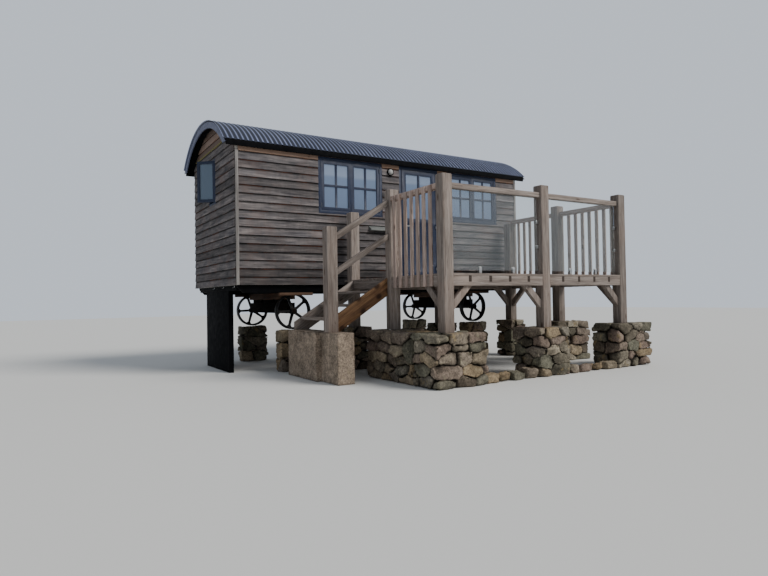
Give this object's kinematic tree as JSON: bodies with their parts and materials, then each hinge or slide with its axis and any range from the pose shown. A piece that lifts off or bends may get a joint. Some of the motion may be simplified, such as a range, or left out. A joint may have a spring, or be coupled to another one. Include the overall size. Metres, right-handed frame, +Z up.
{
  "type": "shepherds hut",
  "caption": "Timber-clad hut with a curved corrugated roof on spoked iron wheels, with a raised timber deck, stair and glass balustrade on dry-stone piers.",
  "frame": {"origin": "middle of the whole object, on the lowest ground that it stands on", "axes": "+X along the hut, -Y the deck side, +Z up"},
  "size_m": [6.1014, 5.3, 4.0198],
  "materials": {
    "cladding": "weathered sawn boards",
    "trim_timber": "weathered planed timber",
    "floor_timber": "plain boards",
    "black_steel": "satin black paint",
    "old_timber": "dark stained timber",
    "wheel_iron": "black painted casting",
    "roof_metal": "satin slate paint",
    "roof_timber": "dark boards",
    "slate_paint": "satin slate paint on timber",
    "window_glass": "clear panes",
    "steel_fittings": "brushed",
    "clear_glass": "clear toughened glass",
    "deck_timber": "weathered sawn oak",
    "new_timber": "oiled sawn timber",
    "stone": "rough dry stone"
  },
  "bodies": {
    "hut": {"balustrade_glass": "clear_glass", "barge_boards": "slate_paint", "bolsters": "old_timber", "chassis_cross_members": "black_steel", "chassis_side_beams": "black_steel", "corner_boards": "trim_timber", "cross_beams": "deck_timber", "deck_boards": "deck_timber", "deck_joists": "deck_timber", "deck_posts": "deck_timber", "door_frame": "slate_paint", "door_hinges": "steel_fittings", "eaves_fascias": "black_steel", "end_stand": "black_steel", "end_window_frames": "slate_paint", "end_window_glass": "window_glass", "end_window_sashes": "slate_paint", "far_stringer": "deck_timber", "floor": "floor_timber", "front_left_stone_wall": "stone", "front_top_rails": "deck_timber", "front_wall_left": "cladding", "front_wall_over_door": "cladding", "front_wall_right": "cladding", "glass_clamps": "steel_fittings", "kerb_stones": "stone", "knee_braces": "deck_timber", "left_axle": "black_steel", "left_end_wall": "cladding", "left_picket_panel": "deck_timber", "near_stringer": "new_timber", "packer_boards": "old_timber", "rear_stone_piers": "stone", "rear_wall": "cladding", "right_axle": "black_steel", "right_end_wall": "cladding", "right_front_picket_panel": "deck_timber", "right_rear_picket_panel": "deck_timber", "roof_boards": "roof_timber", "roof_sheets": "roof_metal", "side_beams": "deck_timber", "square_stone_piers": "stone", "stair_foot_stones": "stone", "stair_newel": "deck_timber", "stair_rails": "deck_timber", "stair_treads": "deck_timber", "vent_hood": "slate_paint", "wall_lamp": "black_steel", "wheel_plinths": "stone", "window_frames": "slate_paint", "window_glass": "window_glass", "window_sashes": "slate_paint"},
    "door": {"door_leaf": "slate_paint", "door_glass": "window_glass", "door_handle": "steel_fittings"},
    "front_left_wheel_body": {"front_left_wheel": "wheel_iron"},
    "rear_left_wheel_body": {"rear_left_wheel": "wheel_iron"},
    "front_right_wheel_body": {"front_right_wheel": "wheel_iron"},
    "rear_right_wheel_body": {"rear_right_wheel": "wheel_iron"}
  },
  "joints": [
    {"name": "door_hinge", "type": "hinge", "parent": "hut", "child": "door", "pos_m": [0.8607, 0.18, 2.4], "axis": [0, 0, 1], "range_deg": [0, 100]},
    {"name": "front_left_wheel_axle", "type": "hinge", "parent": "hut", "child": "front_left_wheel_body", "pos_m": [-1.8343, 0.4, 0.935], "axis": [0, 1, 0], "continuous": true},
    {"name": "rear_left_wheel_axle", "type": "hinge", "parent": "hut", "child": "rear_left_wheel_body", "pos_m": [-1.8343, 2.35, 0.935], "axis": [0, 1, 0], "continuous": true},
    {"name": "front_right_wheel_axle", "type": "hinge", "parent": "hut", "child": "front_right_wheel_body", "pos_m": [1.8657, 0.4, 0.935], "axis": [0, 1, 0], "continuous": true},
    {"name": "rear_right_wheel_axle", "type": "hinge", "parent": "hut", "child": "rear_right_wheel_body", "pos_m": [1.8657, 2.35, 0.935], "axis": [0, 1, 0], "continuous": true}
  ]
}
